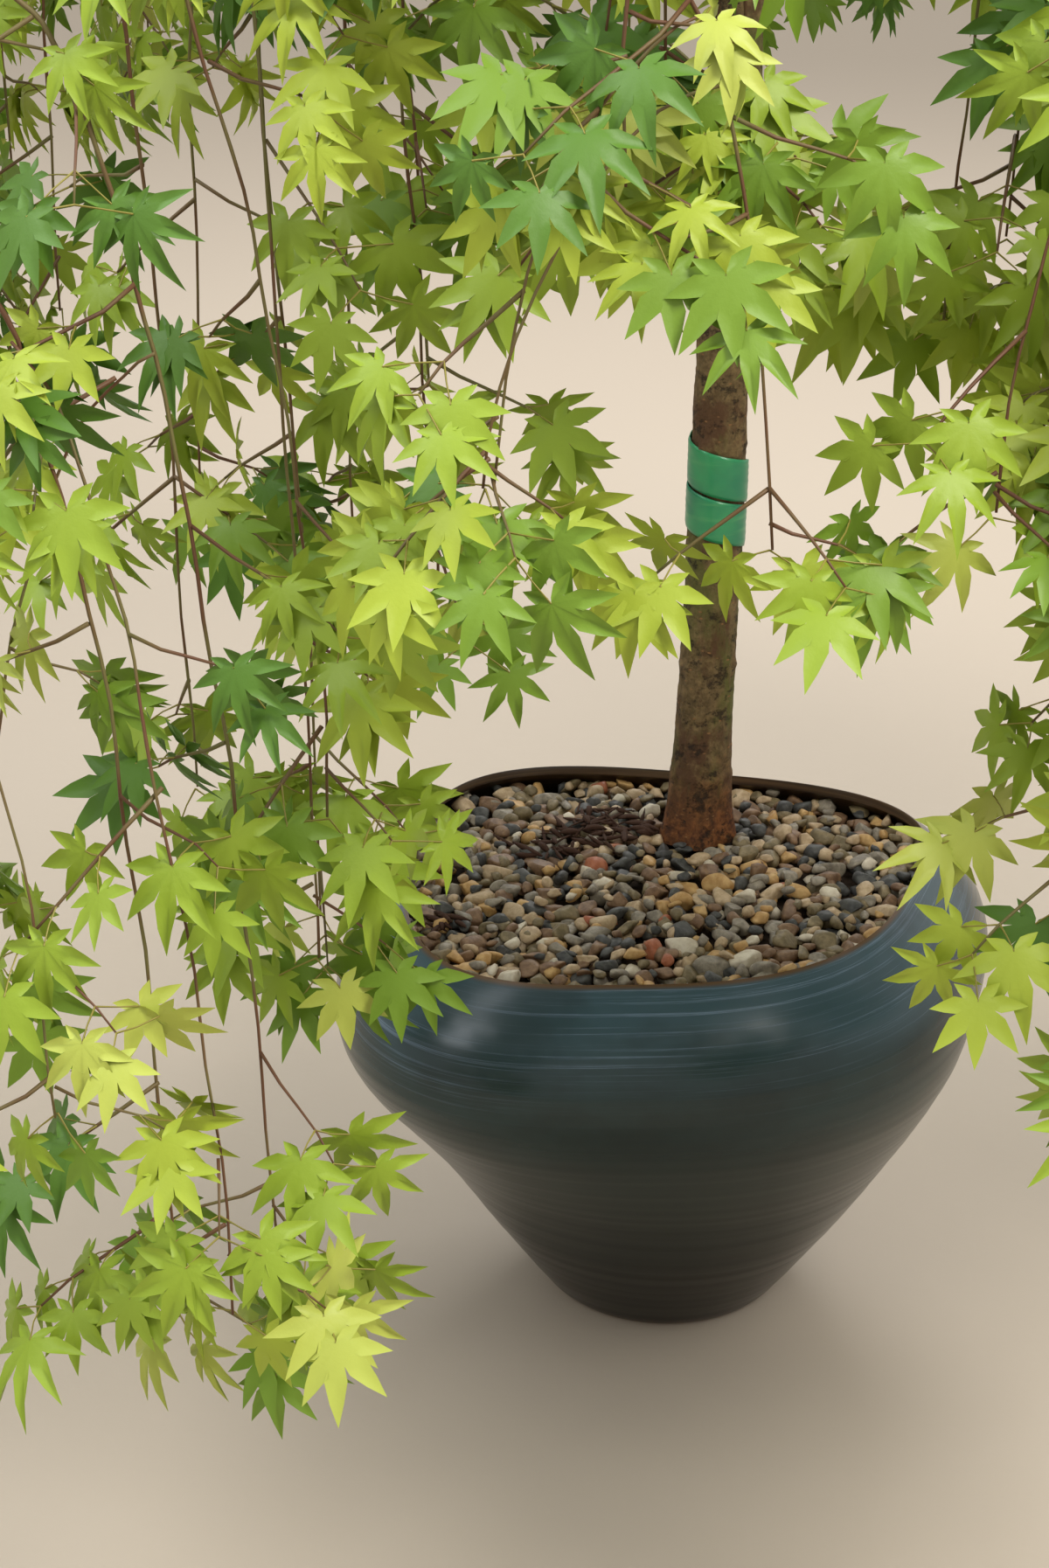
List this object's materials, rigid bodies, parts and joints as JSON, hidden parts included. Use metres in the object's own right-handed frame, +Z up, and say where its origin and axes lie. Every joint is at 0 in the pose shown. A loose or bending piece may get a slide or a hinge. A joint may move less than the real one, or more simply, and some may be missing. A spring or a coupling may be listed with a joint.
{
  "type": "weeping japanese maple in a pot",
  "caption": "Young weeping japanese maple on a straight trunk, with a hanging green crown, in a rounded-square glazed stoneware pot topped with gravel.",
  "frame": {"origin": "centre of the pot's flat underside", "axes": "+Z up along the pot's axis, and -Y towards the front, from which the plant is seen in the picture"},
  "size_m": [1.2565, 1.2062, 1.1504],
  "materials": {
    "pot_glaze": "satin",
    "soil": "matte",
    "gravel": "matte",
    "bark": "matte",
    "tape": "satin",
    "leaf": "satin"
  },
  "bodies": {
    "root": {"pot": "pot_glaze", "soil": "soil", "gravel": "gravel", "trunk": "bark", "tie_tape": "tape", "bough_front_left": "bark", "foliage_front_left": "leaf", "bough_front": "bark", "foliage_front": "leaf", "bough_front_right": "bark", "foliage_front_right": "leaf", "bough_right": "bark", "foliage_right": "leaf", "bough_back_right": "bark", "foliage_back_right": "leaf", "bough_back": "bark", "foliage_back": "leaf", "bough_back_left": "bark", "foliage_back_left": "leaf", "bough_left": "bark", "foliage_left": "leaf", "bough_left_front": "bark", "foliage_left_front": "leaf", "bough_upper_front": "bark", "foliage_upper_front": "leaf", "bough_upper_right": "bark", "foliage_upper_right": "leaf", "bough_upper_back": "bark", "foliage_upper_back": "leaf", "bough_upper_left": "bark", "foliage_upper_left": "leaf"}
  },
  "joints": []
}
